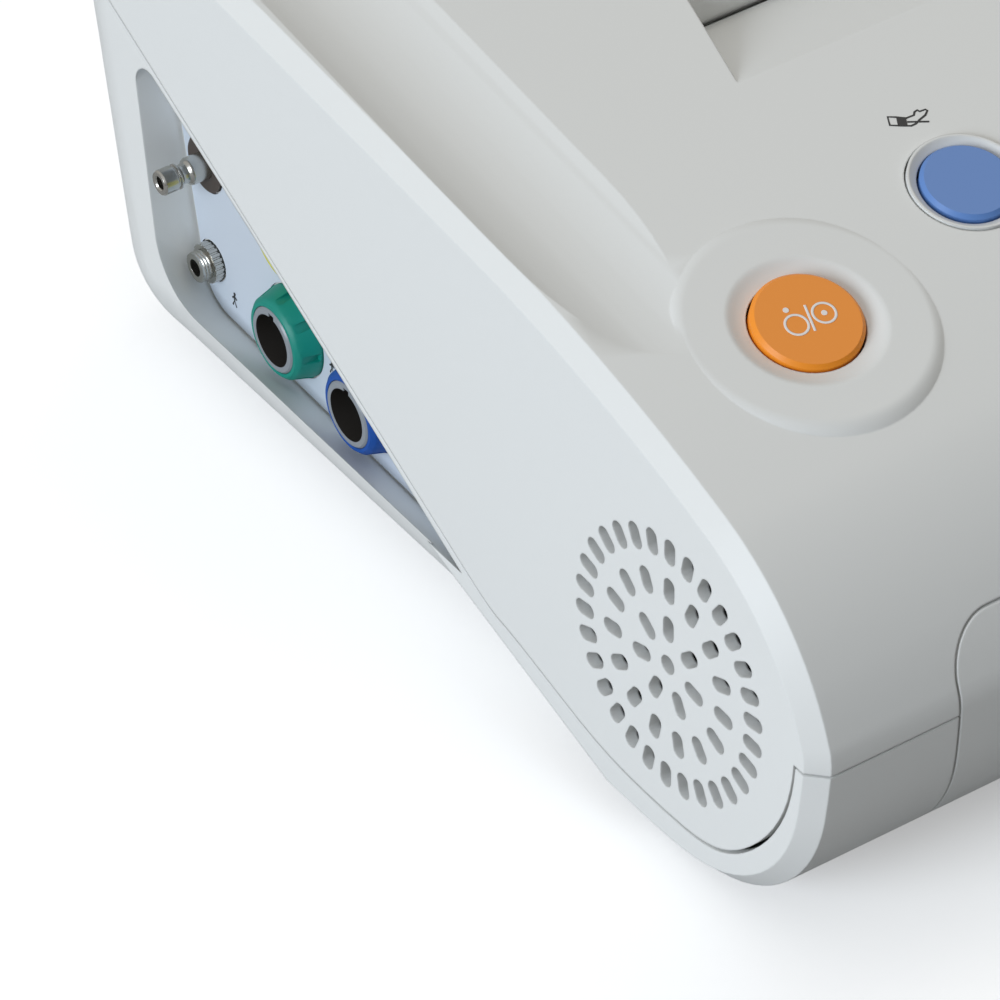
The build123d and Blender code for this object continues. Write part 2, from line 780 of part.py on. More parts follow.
with BuildPart() as lower_case:
    add(outer)
    add(lower_hollow.part, mode=Mode.SUBTRACT)
    add(above_parting.part, mode=Mode.SUBTRACT)
    # The bay and the holes in its floor
    add(bay_outline(bay_outer_x, 0))
    add(bay_outline(bay_face_x, 0))
    loft(ruled=True, mode=Mode.SUBTRACT)
    for (back, height), radius in bay_holes:
        with BuildSketch(bay_plane(back, height, overlay_thickness)):
            Circle(radius + fit_gap)
        extrude(amount=-(overlay_thickness + 2 * wall), mode=Mode.SUBTRACT)
    # Opening for the printer door and the holes for its hinge pins
    extrude(door_front(0), amount=-(overrun + door_reach), mode=Mode.SUBTRACT)
    with BuildSketch(door_side):
        Circle(door_sweep_radius)
    extrude(amount=door_half_width, both=True, mode=Mode.SUBTRACT)
    with BuildSketch(door_side):
        Circle(door_pin_radius + pin_gap)
    extrude(amount=door_half_width + 2 * door_lug_thickness, both=True, mode=Mode.SUBTRACT)
    # Screw holes, wide from below and narrow through the boss's top
    for spots, level in boss_levels:
        with BuildSketch():
            with Locations(*spots):
                Circle(driver_hole_radius)
        extrude(amount=level - seam_gap - boss_grip, mode=Mode.SUBTRACT)
        with BuildSketch():
            with Locations(*spots):
                Circle(screw_hole_radius)
        extrude(amount=level, mode=Mode.SUBTRACT)
    # Seats for the feet
    with BuildSketch():
        with Locations(*feet_spots):
            Circle(foot_radius + fit_gap)
    extrude(amount=foot_height + foot_sink, mode=Mode.SUBTRACT)
    # Rear wall openings
    with BuildSketch(rear_plane(inlet_x, inlet_height, overrun)):
        RectangleRounded(2 * (inlet_half_width + fit_gap), 2 * (inlet_half_height + fit_gap), inlet_corner)
    extrude(amount=-(overrun + 2 * wall), mode=Mode.SUBTRACT)
    with BuildSketch(rear_plane(rocker_x, inlet_height, overrun)):
        Rectangle(2 * (switch_half_width + fit_gap), 2 * (switch_half_height + fit_gap))
    extrude(amount=-(overrun + 2 * wall), mode=Mode.SUBTRACT)
    with BuildSketch(rear_plane(stud_x, stud_height, overrun)):
        Circle(stud_radius + fit_gap)
    extrude(amount=-(overrun + 2 * wall), mode=Mode.SUBTRACT)
    for x in port_xs:
        with BuildSketch(rear_plane(x, port_height, overrun)):
            Rectangle(2 * (port_half_width + fit_gap), 2 * (port_half_height + fit_gap))
        extrude(amount=-(overrun + 2 * wall), mode=Mode.SUBTRACT)
    with BuildSketch(rear_plane(vent_x, vent_height, overrun)):
        with GridLocations(vent_pitch, 0, vent_count, 1):
            SlotOverall(vent_length, vent_width, rotation=90)
    extrude(amount=-(overrun + 2 * wall), mode=Mode.SUBTRACT)
lower_case.part.label = "lower_case"
export_step(lower_case.part, "parts/lower_case.step")

# Overlay on the bay's floor, cut out round every connector
with BuildPart() as connector_panel:
    extrude(bay_outline(bay_face_x, -overlay_margin), amount=overlay_thickness)
    for back, height in socket_spots.values():
        with BuildSketch(bay_plane(back, height, -overlay_thickness)):
            Circle(collar_radius + overlay_gap)
        extrude(amount=3 * overlay_thickness, mode=Mode.SUBTRACT)
    for back, height, radius in ((jack_back, jack_height, jack_nut_radius),
                                 (nipple_back, nipple_height, flange_radius)):
        with BuildSketch(bay_plane(back, height, -overlay_thickness)):
            Circle(radius + overlay_gap)
        extrude(amount=3 * overlay_thickness, mode=Mode.SUBTRACT)
connector_panel.part.label = "connector_panel"
export_step(connector_panel.part, "parts/connector_panel.step")

# Each round socket: a notched collar on the panel, a shell through the wall and a keyed insert
for colour, (back, height) in socket_spots.items():
    seat = bay_plane(back, height)
    collar_height = collar_heights[colour]
    mouth = collar_height + shell_proud
    with BuildPart() as collar:
        revolve(half_section(seat, [(shell_radius + fit_gap, 0), (collar_radius, 0), (collar_radius, notch_end),
                                    (collar_front_radius, collar_height - collar_bevel),
                                    (collar_front_radius - collar_bevel, collar_height),
                                    (shell_radius + fit_gap, collar_height)]), axis=normal_axis(seat))
        with BuildSketch(seat.offset(notch_end)):
            with PolarLocations(collar_radius, collar_notches):
                Rectangle(2 * notch_depth, notch_width)
        extrude(amount=collar_height, mode=Mode.SUBTRACT)
    collar.part.label = colour + "_collar"
    export_step(collar.part, "parts/" + colour + "_collar.step")

    with BuildPart() as shell:
        revolve(half_section(seat, [(0, -shell_depth), (shell_radius, -shell_depth),
                                    (shell_radius, -wall - shell_flange_thickness),
                                    (shell_flange_radius, -wall - shell_flange_thickness),
                                    (shell_flange_radius, -wall), (shell_radius, -wall),
                                    (shell_radius, mouth - shell_edge), (shell_radius - shell_edge, mouth),
                                    (socket_bore_radius, mouth), (socket_bore_radius, mouth - insert_recess),
                                    (insert_seat_radius, mouth - insert_recess),
                                    (insert_seat_radius, mouth - socket_bore_depth),
                                    (0, mouth - socket_bore_depth)]), axis=normal_axis(seat))
        with BuildSketch(seat.offset(mouth - insert_recess)):
            with Locations((0, socket_bore_radius)):
                Rectangle(keyway_width, 2 * keyway_depth)
        extrude(amount=insert_recess, mode=Mode.SUBTRACT)
    shell.part.label = colour + "_socket"
    export_step(shell.part, "parts/" + colour + "_socket.step")

    base = mouth - socket_bore_depth
    top = mouth - insert_recess
    with BuildPart() as insert:
        with BuildSketch(seat.offset(base)):
            Circle(insert_seat_radius - fit_gap)
        extrude(amount=top - base)
        with BuildSketch(seat.offset(top)):
            with PolarLocations(contact_circle, contact_count):
                Circle(contact_radius)
        extrude(amount=-contact_depth, mode=Mode.SUBTRACT)
    insert.part.label = colour + "_insert"
    export_step(insert.part, "parts/" + colour + "_insert.step")

# Event-marker jack with its knurled nut
jack_seat = bay_plane(jack_back, jack_height)
with BuildPart() as marker_jack:
    revolve(half_section(jack_seat, [(0, -jack_body_depth), (jack_body_radius, -jack_body_depth),
                                     (jack_body_radius, -wall), (jack_barrel_radius, -wall),
                                     (jack_barrel_radius, jack_length), (jack_bore_radius, jack_length),
                                     (jack_bore_radius, jack_length - jack_bore_depth),
                                     (0, jack_length - jack_bore_depth)]), axis=normal_axis(jack_seat))
marker_jack.part.label = "marker_jack"
export_step(marker_jack.part, "parts/marker_jack.step")

with BuildPart() as jack_nut:
    with BuildSketch(jack_seat):
        Circle(jack_nut_radius)
        Circle(jack_barrel_radius + pin_gap, mode=Mode.SUBTRACT)
        with PolarLocations(jack_nut_radius, jack_nut_notches):
            Circle(jack_notch_radius, mode=Mode.SUBTRACT)
    extrude(amount=jack_nut_height)
jack_nut.part.label = "jack_nut"
export_step(jack_nut.part, "parts/jack_nut.step")

# Hose nipple: a shank, a snap groove, a ring, a second groove and a tip
nipple_seat = bay_plane(nipple_back, nipple_height)
neck_end = nipple_shank_length + nipple_neck_length
ring_end = neck_end + nipple_ring_length
tip_start = ring_end + nipple_neck_length
with BuildPart() as hose_nipple:
    revolve(half_section(nipple_seat, [(nipple_bore_radius, -nipple_tail), (nipple_shank_radius, -nipple_tail),
                                       (nipple_shank_radius, nipple_shank_length),
                                       (nipple_neck_radius, nipple_shank_length), (nipple_neck_radius, neck_end),
                                       (nipple_ring_radius, neck_end), (nipple_ring_radius, ring_end),
                                       (nipple_neck_radius, ring_end), (nipple_neck_radius, tip_start),
                                       (nipple_tip_radius, tip_start),
                                       (nipple_tip_radius, nipple_length - nipple_tip_edge),
                                       (nipple_tip_radius - nipple_tip_edge, nipple_length),
                                       (nipple_bore_radius, nipple_length)]), axis=normal_axis(nipple_seat))
hose_nipple.part.label = "hose_nipple"
export_step(hose_nipple.part, "parts/hose_nipple.step")

with BuildPart() as nipple_flange:
    with BuildSketch(nipple_seat):
        Circle(flange_radius)
        Circle(nipple_shank_radius + pin_gap, mode=Mode.SUBTRACT)
    extrude(amount=flange_height)
nipple_flange.part.label = "nipple_flange"
export_step(nipple_flange.part, "parts/nipple_flange.step")

# Speaker: a basket against the cheek's inner face, a paper cone and a magnet
speaker_seat = side_plane(-1, wall, speaker_back, speaker_height)
rim = speaker_radius - speaker_lip_width
with BuildPart() as speaker_basket:
    revolve(half_section(speaker_seat, [(rim, 0), (speaker_radius, 0), (speaker_radius, -speaker_lip),
                                        (rim, -speaker_lip), (magnet_radius, -basket_depth),
                                        (0, -basket_depth), (0, basket_thickness - basket_depth),
                                        (magnet_radius - basket_thickness, basket_thickness - basket_depth),
                                        (rim - basket_thickness, -speaker_lip)]), axis=normal_axis(speaker_seat))
speaker_basket.part.label = "speaker_basket"
export_step(speaker_basket.part, "parts/speaker_basket.step")

cone_rim = rim - basket_thickness - fit_gap
with BuildPart() as speaker_cone:
    revolve(half_section(speaker_seat, [(0, -cone_depth), (dust_cap_radius, -cone_depth), (cone_rim, -fit_gap),
                                        (cone_rim, -fit_gap - cone_thickness),
                                        (dust_cap_radius, -cone_depth - cone_thickness),
                                        (0, -cone_depth - cone_thickness)]), axis=normal_axis(speaker_seat))
speaker_cone.part.label = "speaker_cone"
export_step(speaker_cone.part, "parts/speaker_cone.step")

with BuildPart() as speaker_magnet:
    with BuildSketch(speaker_seat.offset(-basket_depth)):
        Circle(magnet_radius)
    extrude(amount=-magnet_height)
speaker_magnet.part.label = "speaker_magnet"
export_step(speaker_magnet.part, "parts/speaker_magnet.step")

# Keys: a cap in its tube, a stem and a stop disc under the tube; the small keys have a bezel ring
for name, (x, back, tilt, radius) in key_spots.items():
    cap_top = top_plane(x, back, tilt, key_proud)
    stop = key_proud + key_tube_depth + key_stop_gap
    stop_radius = radius + key_gap + key_stop_width
    with BuildPart() as key:
        revolve(half_section(cap_top, [(0, 0), (radius - key_edge, 0), (radius, -key_edge),
                                       (radius, -key_thickness), (key_stem_radius, -key_thickness),
                                       (key_stem_radius, -stop), (stop_radius, -stop),
                                       (stop_radius, -stop - key_stop_thickness),
                                       (key_stem_radius, -stop - key_stop_thickness),
                                       (key_stem_radius, -key_proud - key_drop),
                                       (0, -key_proud - key_drop)]), axis=normal_axis(cap_top))
    key.part.label = name
    export_step(key.part, "parts/" + name + ".step")
for name in small_keys:
    x, back, tilt, radius = key_spots[name]
    seat = top_plane(x, back, tilt, -bezel_height)
    bezel_top = bezel_height + bezel_proud
    ring_radius = bezel_radius - bezel_groove
    with BuildPart() as key_bezel:
        revolve(half_section(seat, [(radius + key_gap, 0), (ring_radius, 0), (ring_radius, bezel_top),
                                    (ring_radius - bezel_land, bezel_top),
                                    (radius + key_gap, bezel_top - bezel_slope)]), axis=normal_axis(seat))
    key_bezel.part.label = name + "_bezel"
    export_step(key_bezel.part, "parts/" + name + "_bezel.step")

# Board under the keys with a switch below each stem
with BuildPart() as key_switches:
    for x, back, tilt, radius in key_spots.values():
        with BuildSketch(top_plane(x, back, tilt, -key_drop - key_travel - key_stop_gap)):
            Circle(switch_radius)
        extrude(amount=-switch_length)
    with BuildSketch(Plane.XY.offset(key_board_height)):
        Rectangle(2 * case_half_width, 2 * case_depth)
    extrude(amount=case_height, mode=Mode.INTERSECT)
with BuildPart() as key_board:
    with BuildSketch(Plane.XY.offset(key_board_height)):
        with Locations((0, along((key_board_front + key_board_rear) / 2))):
            Rectangle(2 * key_board_half_width, key_board_rear - key_board_front)
    extrude(amount=board_thickness)
    add(key_switches.part)
key_board.part.label = "key_board"
export_step(key_board.part, "parts/key_board.step")

# Tilting display: a housing with a round hinge edge in front, its lens and two hinge pins
with BuildPart() as display_housing:
    with BuildSketch(display_side):
        with Locations((display_axis_y, display_axis_z)):
            Circle(display_thickness / 2)
        with BuildLine():
            Polyline((display_axis_y, 0), (display_half_length - display_gap, 0),
                     (display_half_length - display_gap, -display_thickness),
                     (display_axis_y, -display_thickness), close=True)
        make_face()
    extrude(amount=display_half_width - display_gap, both=True)
    fillet(display_housing.edges().filter_by(Axis((0, 0, 0), display_plane(0).z_dir)), radius=2 * display_edge)
    with BuildSketch(display_plane(0)):
        Rectangle(2 * (display_half_width - lens_margin), 2 * (display_half_length - lens_margin))
    extrude(amount=-lens_thickness, mode=Mode.SUBTRACT)
    for hand in (-1, 1):
        with BuildSketch(display_side.offset(hand * (display_half_width + pocket_wall))):
            with Locations((display_axis_y, display_axis_z)):
                Circle(display_pin_radius + pin_gap)
        extrude(amount=-hand * (display_pin_length + display_gap), mode=Mode.SUBTRACT)
display_housing.part.label = "display_housing"
export_step(display_housing.part, "parts/display_housing.step")

with BuildPart() as display_lens:
    with BuildSketch(display_plane(-lens_thickness)):
        Rectangle(2 * (display_half_width - lens_margin - lens_gap),
                  2 * (display_half_length - lens_margin - lens_gap))
    extrude(amount=lens_thickness)
display_lens.part.label = "display_lens"
export_step(display_lens.part, "parts/display_lens.step")

with BuildPart() as display_pins:
    for hand in (-1, 1):
        with BuildSketch(display_side.offset(hand * (display_half_width + pocket_wall))):
            with Locations((display_axis_y, display_axis_z)):
                Circle(display_pin_radius)
        extrude(amount=-hand * display_pin_length)
display_pins.part.label = "display_pins"
export_step(display_pins.part, "parts/display_pins.step")

# Printer door: the nose's own wall with a round hinge edge along its foot and ribs inside
with BuildPart() as door_ribs:
    with BuildSketch(Plane.XY.offset(door_rib_low)):
        with Locations((0, along(0))):
            with GridLocations(door_rib_spacing, 0, door_rib_count, 1):
                Rectangle(door_rib_thickness, 2 * door_reach)
    extrude(amount=door_rib_high - door_rib_low)
    extrude(side_view(wall + door_rib_depth), amount=case_half_width, both=True, mode=Mode.SUBTRACT)
with BuildPart() as door_body:
    extrude(door_front(door_gap), amount=-(overrun + door_reach))
    with BuildSketch(door_side):
        Circle(door_knuckle_radius)
    extrude(amount=door_half_width - door_gap, both=True)
with BuildPart() as door_hollow:
    add(inner)
    add(door_ribs.part, mode=Mode.SUBTRACT)
    with BuildSketch(door_side):
        Circle(door_knuckle_radius)
    extrude(amount=door_half_width - door_gap, both=True, mode=Mode.SUBTRACT)
with BuildPart() as printer_door:
    add(door_body.part)
    add(outer, mode=Mode.INTERSECT)
    add(door_hollow.part, mode=Mode.SUBTRACT)
    for hand in (-1, 1):
        with BuildSketch(door_side.offset(hand * (door_half_width + door_lug_thickness))):
            Circle(door_pin_radius + pin_gap)
        extrude(amount=-hand * (door_pin_length + door_gap), mode=Mode.SUBTRACT)
printer_door.part.label = "printer_door"
export_step(printer_door.part, "parts/printer_door.step")

with BuildPart() as door_pins:
    for hand in (-1, 1):
        with BuildSketch(door_side.offset(hand * (door_half_width + door_lug_thickness))):
            Circle(door_pin_radius)
        extrude(amount=-hand * door_pin_length)
door_pins.part.label = "door_pins"
export_step(door_pins.part, "parts/door_pins.step")

# Printer chassis: a base and two side plates that carry the platen, the head and the motor
gear_distance = gear_module * (platen_gear_teeth + pinion_teeth) / 2 + gear_clearance
motor_back = platen_back + gear_distance * cos(radians(motor_angle))
motor_height = platen_height - gear_distance * sin(radians(motor_angle))
right_inner = chassis_right - chassis_plate
left_inner = chassis_left + chassis_plate


def cross_plane(x, back, height):
    """A plane across the device at x, facing right, with its X axis to the rear and its Y axis up."""
    return Plane(origin=(x, along(back), height), x_dir=(0, 1, 0), z_dir=(1, 0, 0))


with BuildPart() as printer_chassis:
    with BuildSketch(Plane.XY.offset(deck)):
        with BuildLine():
            Polyline((chassis_left, along(chassis_base_front)), (chassis_right, along(chassis_base_front)),
                     (chassis_right, along(chassis_rear)), (chassis_left, along(chassis_rear)), close=True)
        make_face()
    extrude(amount=chassis_plate)
    for x in (chassis_left, right_inner):
        with BuildSketch(cross_plane(x, 0, 0)):
            with BuildLine():
                Polyline((chassis_base_front, deck), (chassis_rear, deck), (chassis_rear, chassis_back_top),
                         (chassis_bend, chassis_top), (chassis_nose, chassis_top),
                         (chassis_nose, chassis_nose_low), (platen_back, chassis_nose_low - platen_radius),
                         close=True)
            make_face()
            with Locations((platen_back, platen_height)):
                Circle(platen_shaft_radius + pin_gap, mode=Mode.SUBTRACT)
        extrude(amount=chassis_plate)
    with BuildSketch(cross_plane(right_inner, motor_back, motor_height)):
        Circle(motor_boss_radius + fit_gap)
    extrude(amount=chassis_plate, mode=Mode.SUBTRACT)
printer_chassis.part.label = "printer_chassis"
export_step(printer_chassis.part, "parts/printer_chassis.step")

with BuildPart() as platen_roller:
    with BuildSketch(cross_plane(0, platen_back, platen_height)):
        Circle(platen_radius)
        Circle(platen_shaft_radius, mode=Mode.SUBTRACT)
    extrude(amount=platen_half_length, both=True)
platen_roller.part.label = "platen_roller"
export_step(platen_roller.part, "parts/platen_roller.step")

gear_face = chassis_right + gear_offset
with BuildPart() as platen_shaft:
    with BuildSketch(cross_plane(chassis_left - gear_offset, platen_back, platen_height)):
        Circle(platen_shaft_radius)
    extrude(amount=gear_face + gear_width + gear_offset - chassis_left + gear_offset)
platen_shaft.part.label = "platen_shaft"
export_step(platen_shaft.part, "parts/platen_shaft.step")


def gear(teeth, bore, plane, start_angle):
    """A spur gear on a plane, with its first tooth at the start angle."""
    pitch_radius = gear_module * teeth / 2
    root, tip = pitch_radius - dedendum_share * gear_module, pitch_radius + gear_module
    pitch = pi * gear_module
    with BuildPart() as wheel:
        with BuildSketch(plane):
            Circle(root)
            with PolarLocations(0, teeth, start_angle=start_angle):
                Polygon((0, -tooth_root_share * pitch / 2), (root, -tooth_root_share * pitch / 2),
                        (pitch_radius, -tooth_pitch_share * pitch / 2), (tip, -tooth_tip_share * pitch / 2),
                        (tip, tooth_tip_share * pitch / 2), (pitch_radius, tooth_pitch_share * pitch / 2),
                        (root, tooth_root_share * pitch / 2), (0, tooth_root_share * pitch / 2), align=None)
            Circle(bore, mode=Mode.SUBTRACT)
        extrude(amount=gear_width)
    return wheel.part


with BuildPart() as platen_gear:
    add(gear(platen_gear_teeth, platen_shaft_radius, cross_plane(gear_face, platen_back, platen_height),
             -motor_angle))
platen_gear.part.label = "platen_gear"
export_step(platen_gear.part, "parts/platen_gear.step")

with BuildPart() as motor_pinion:
    add(gear(pinion_teeth, motor_shaft_radius, cross_plane(gear_face, motor_back, motor_height),
             180 - motor_angle + 180 / pinion_teeth))
motor_pinion.part.label = "motor_pinion"
export_step(motor_pinion.part, "parts/motor_pinion.step")

with BuildPart() as motor_shaft:
    with BuildSketch(cross_plane(right_inner, motor_back, motor_height)):
        Circle(motor_shaft_radius)
    extrude(amount=gear_face + gear_width + gear_offset - right_inner)
motor_shaft.part.label = "motor_shaft"
export_step(motor_shaft.part, "parts/motor_shaft.step")

with BuildPart() as feed_motor:
    with BuildSketch(cross_plane(right_inner, motor_back, motor_height)):
        Circle(motor_radius)
    extrude(amount=-motor_length)
    with BuildSketch(cross_plane(right_inner, motor_back, motor_height)):
        Circle(motor_boss_radius)
    extrude(amount=chassis_plate)
    with BuildSketch(cross_plane(right_inner, motor_back, motor_height)):
        Circle(motor_shaft_radius + pin_gap)
    extrude(amount=chassis_plate, mode=Mode.SUBTRACT)
feed_motor.part.label = "feed_motor"
export_step(feed_motor.part, "parts/feed_motor.step")

# Thermal head behind the platen, with cooling fins and an ear over the motor
head_front = platen_back + platen_radius + head_gap
head_low = platen_height - head_height / 2
head_high = platen_height + head_height / 2
ear_low = max(motor_height + motor_radius + fit_gap, head_low)
with BuildPart() as print_head:
    with BuildSketch(cross_plane(left_inner, head_front, 0)):
        with BuildLine():
            Polyline((0, head_low), (head_thickness, head_low), (head_thickness, head_high), (0, head_high),
                     close=True)
        make_face()
        with Locations((head_thickness + head_fin_depth / 2, platen_height)):
            with GridLocations(0, head_height / head_fins, 1, head_fins):
                Rectangle(head_fin_depth, head_fin_thickness)
    extrude(amount=platen_half_length - left_inner)
    with BuildSketch(cross_plane(platen_half_length, head_front, 0)):
        with BuildLine():
            Polyline((0, ear_low), (head_thickness, ear_low), (head_thickness, head_high), (0, head_high),
                     close=True)
        make_face()
    extrude(amount=right_inner - platen_half_length)
print_head.part.label = "print_head"
export_step(print_head.part, "parts/print_head.step")

with BuildPart() as tear_bar:
    with BuildSketch(Plane.XY.offset(chassis_top)):
        with BuildLine():
            Polyline((chassis_left, along(chassis_nose)), (chassis_right, along(chassis_nose)),
                     (chassis_right, along(chassis_nose) + tear_bar_width),
                     (chassis_left, along(chassis_nose) + tear_bar_width), close=True)
        make_face()
    extrude(amount=tear_bar_thickness)
tear_bar.part.label = "tear_bar"
export_step(tear_bar.part, "parts/tear_bar.step")

with BuildPart() as paper_pack:
    with BuildSketch(Plane.XY.offset(deck + chassis_plate)):
        with Locations((0, along((paper_front + paper_rear) / 2))):
            Rectangle(2 * paper_half_width, paper_rear - paper_front)
    extrude(amount=paper_height)
paper_pack.part.label = "paper_pack"
export_step(paper_pack.part, "parts/paper_pack.step")

# Main board with its chips, and the power supply
board_middle = ((board_left + board_right) / 2, along((board_front + board_rear) / 2))
with BuildPart() as main_board:
    with BuildSketch(Plane.XY.offset(deck)):
        with Locations(board_middle):
            Rectangle(board_right - board_left, board_rear - board_front)
    extrude(amount=board_thickness)
    with BuildSketch(Plane.XY.offset(deck + board_thickness)):
        with Locations(board_middle):
            with GridLocations(chip_pitch, chip_row_pitch, chip_columns, chip_rows):
                Rectangle(chip_size, chip_size)
    extrude(amount=chip_height)
main_board.part.label = "main_board"
export_step(main_board.part, "parts/main_board.step")

with BuildPart() as power_supply:
    with BuildSketch(Plane.XY.offset(deck)):
        with Locations(((supply_left + supply_right) / 2, along((board_front + board_rear) / 2))):
            Rectangle(supply_right - supply_left, board_rear - board_front)
    extrude(amount=supply_height)
    chamfer(power_supply.faces().sort_by(Axis.Z)[-1].edges(), length=supply_edge)
power_supply.part.label = "power_supply"
export_step(power_supply.part, "parts/power_supply.step")

# Mains inlet with its three blades
inlet_seat = rear_plane(inlet_x, inlet_height)
with BuildPart() as mains_inlet:
    with BuildSketch(inlet_seat):
        RectangleRounded(2 * (inlet_half_width + inlet_flange), 2 * (inlet_half_height + inlet_flange),
                         inlet_corner)
    extrude(amount=inlet_flange_thickness)
    with BuildSketch(inlet_seat):
        RectangleRounded(2 * inlet_half_width, 2 * inlet_half_height, inlet_corner)
    extrude(amount=-inlet_depth)
    with BuildSketch(inlet_seat.offset(inlet_flange_thickness)):
        RectangleRounded(2 * (inlet_half_width - inlet_wall), 2 * (inlet_half_height - inlet_wall),
                         inlet_corner - inlet_wall)
    extrude(amount=-inlet_cavity_depth, mode=Mode.SUBTRACT)
mains_inlet.part.label = "mains_inlet"
export_step(mains_inlet.part, "parts/mains_inlet.step")

with BuildPart() as inlet_blades:
    with BuildSketch(inlet_seat.offset(inlet_flange_thickness - inlet_cavity_depth)):
        with Locations((-blade_pitch, -blade_drop), (0, blade_drop), (blade_pitch, -blade_drop)):
            Rectangle(blade_thickness, blade_width)
    extrude(amount=blade_length)
inlet_blades.part.label = "inlet_blades"
export_step(inlet_blades.part, "parts/inlet_blades.step")

# Power switch: a frame, a rocker that turns in it on a pin
rocker_seat = rear_plane(rocker_x, inlet_height)
rocker_pivot = rocker_seat.offset(-rocker_depth)
rocker_side = Plane(origin=rocker_pivot.origin, x_dir=rocker_pivot.y_dir, z_dir=rocker_pivot.x_dir)
with BuildPart() as switch_frame:
    with BuildSketch(rocker_seat):
        Rectangle(2 * (switch_half_width + switch_flange), 2 * (switch_half_height + switch_flange))
    extrude(amount=switch_flange_thickness)
    with BuildSketch(rocker_seat):
        Rectangle(2 * switch_half_width, 2 * switch_half_height)
    extrude(amount=-(rocker_depth + switch_half_height))
    with BuildSketch(rocker_seat.offset(switch_flange_thickness)):
        Rectangle(2 * (rocker_half_width + rocker_gap), 2 * (rocker_radius + rocker_gap))
    extrude(amount=-(switch_flange_thickness + rocker_depth + rocker_radius + rocker_gap), mode=Mode.SUBTRACT)
    with BuildSketch(rocker_side):
        Circle(rocker_pin_radius + pin_gap)
    extrude(amount=switch_half_width, both=True, mode=Mode.SUBTRACT)
switch_frame.part.label = "switch_frame"
export_step(switch_frame.part, "parts/switch_frame.step")

with BuildPart() as power_rocker:
    with BuildSketch(rocker_side):
        Circle(rocker_radius)
        with Locations(Location((0, 0, 0), (0, 0, rocker_angle))):
            Rectangle(2 * rocker_radius, rocker_rise + rocker_floor,
                      align=(Align.CENTER, Align.MIN), mode=Mode.INTERSECT)
        Circle(rocker_pin_radius + pin_gap, mode=Mode.SUBTRACT)
    extrude(amount=rocker_half_width, both=True)
power_rocker.part.label = "power_rocker"
export_step(power_rocker.part, "parts/power_rocker.step")

with BuildPart() as rocker_pin:
    with BuildSketch(rocker_side):
        Circle(rocker_pin_radius)
    extrude(amount=switch_half_width, both=True)
rocker_pin.part.label = "rocker_pin"
export_step(rocker_pin.part, "parts/rocker_pin.step")

# Earth stud and data ports
stud_seat = rear_plane(stud_x, stud_height)
with BuildPart() as earth_stud:
    revolve(half_section(stud_seat, [(0, -stud_tail), (stud_radius, -stud_tail), (stud_radius, 0),
                                     (stud_base_radius, 0), (stud_base_radius, stud_base_height),
                                     (stud_neck_radius, stud_base_height),
                                     (stud_neck_radius, stud_base_height + stud_neck),
                                     (stud_radius, stud_base_height + stud_neck), (stud_radius, stud_length),
                                     (0, stud_length)]), axis=normal_axis(stud_seat))
earth_stud.part.label = "earth_stud"
export_step(earth_stud.part, "parts/earth_stud.step")

with BuildPart() as data_ports:
    for x in port_xs:
        with BuildSketch(rear_plane(x, port_height, port_wall)):
            Rectangle(2 * port_half_width, 2 * port_half_height)
        extrude(amount=-port_depth)
        with BuildSketch(rear_plane(x, port_height, port_wall)):
            Rectangle(2 * (port_half_width - port_wall), 2 * (port_half_height - port_wall))
        extrude(amount=-(port_depth - port_floor), mode=Mode.SUBTRACT)
data_ports.part.label = "data_ports"
export_step(data_ports.part, "parts/data_ports.step")

# Rubber feet and case screws
with BuildPart() as feet:
    with BuildSketch():
        with Locations(*feet_spots):
            Circle(foot_radius)
    extrude(amount=foot_height + foot_sink)
    chamfer(feet.faces().filter_by(Axis.Z).group_by(Axis.Z)[0].edges(), length=foot_edge)
feet.part.label = "feet"
export_step(feet.part, "parts/feet.step")

with BuildPart() as case_screws:
    for spots, level in boss_levels:
        head_top = level - seam_gap - boss_grip
        with BuildSketch(Plane.XY.offset(head_top - screw_head_height)):
            with Locations(*spots):
                Circle(screw_head_radius)
        extrude(amount=screw_head_height)
        with BuildSketch(Plane.XY.offset(head_top)):
            with Locations(*spots):
                Circle(screw_radius)
        extrude(amount=screw_length)
        with BuildSketch(Plane.XY.offset(head_top - screw_head_height)):
            with Locations(*spots):
                Rectangle(2 * screw_head_radius, driver_slot_width)
        extrude(amount=driver_slot_depth, mode=Mode.SUBTRACT)
case_screws.part.label = "case_screws"
export_step(case_screws.part, "parts/case_screws.step")
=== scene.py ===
import json
from math import cos, pi, radians, sin

import bpy
from mathutils import Matrix, Vector


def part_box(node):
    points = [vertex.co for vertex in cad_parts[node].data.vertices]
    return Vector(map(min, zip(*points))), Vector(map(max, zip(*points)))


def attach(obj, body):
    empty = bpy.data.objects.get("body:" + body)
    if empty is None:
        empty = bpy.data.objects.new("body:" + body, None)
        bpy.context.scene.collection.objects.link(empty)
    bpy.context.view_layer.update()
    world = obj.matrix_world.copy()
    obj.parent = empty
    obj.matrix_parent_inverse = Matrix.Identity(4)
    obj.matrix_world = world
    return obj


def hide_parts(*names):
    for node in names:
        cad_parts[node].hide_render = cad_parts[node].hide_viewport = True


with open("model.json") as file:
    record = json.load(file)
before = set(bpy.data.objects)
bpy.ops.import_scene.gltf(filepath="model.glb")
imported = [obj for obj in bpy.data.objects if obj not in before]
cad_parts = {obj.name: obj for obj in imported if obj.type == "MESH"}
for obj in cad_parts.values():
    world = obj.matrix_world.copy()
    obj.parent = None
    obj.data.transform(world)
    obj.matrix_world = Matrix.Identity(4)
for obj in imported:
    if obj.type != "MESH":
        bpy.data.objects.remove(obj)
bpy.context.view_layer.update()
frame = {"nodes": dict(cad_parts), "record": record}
nodes = frame["nodes"]
mm = 0.001


